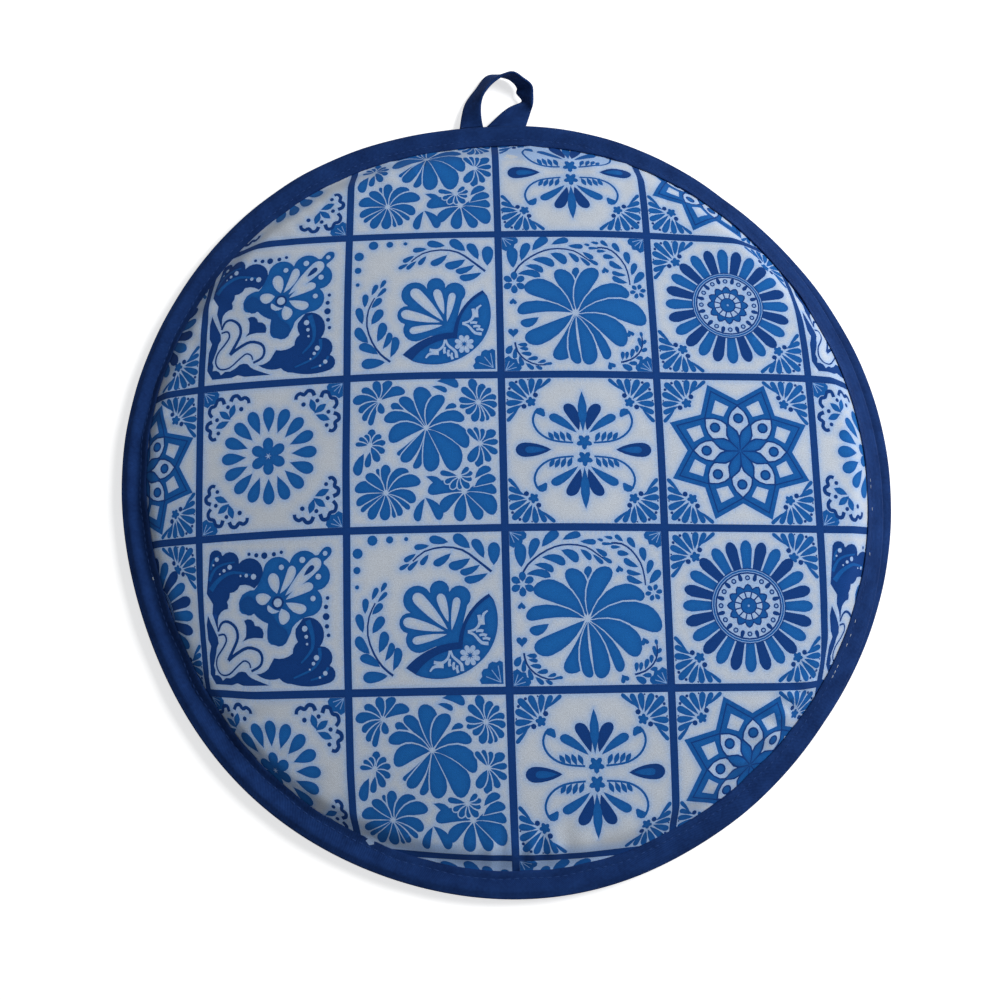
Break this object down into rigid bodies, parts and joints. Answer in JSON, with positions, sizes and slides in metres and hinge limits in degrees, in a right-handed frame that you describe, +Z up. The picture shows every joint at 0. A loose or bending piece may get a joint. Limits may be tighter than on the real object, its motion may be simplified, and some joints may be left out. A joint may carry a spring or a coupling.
{
  "type": "tortilla warmer pouch",
  "caption": "Round padded cloth pouch with a printed cover, bound edge, side mouth and hanging loop, for keeping tortillas warm.",
  "frame": {"origin": "on the resting plane, under the centre of the two discs", "axes": "+Z up out of the front cover, +Y towards the hanging loop, +X towards the mouth"},
  "size_m": [0.308, 0.3324, 0.023],
  "materials": {
    "printed_cotton": "plain-weave cotton printed with blue and white tiles",
    "plain_cotton": "plain-weave undyed cotton",
    "cotton_wadding": "soft matted cotton batting",
    "navy_tape": "folded navy cotton tape, stitched"
  },
  "bodies": {
    "root": {"front_cover": "printed_cotton", "front_wadding": "cotton_wadding", "front_lining": "plain_cotton", "back_lining": "plain_cotton", "back_wadding": "cotton_wadding", "back_cover": "printed_cotton", "edge_binding": "navy_tape", "front_mouth_binding": "navy_tape", "back_mouth_binding": "navy_tape", "hanging_loop": "navy_tape"}
  },
  "joints": []
}
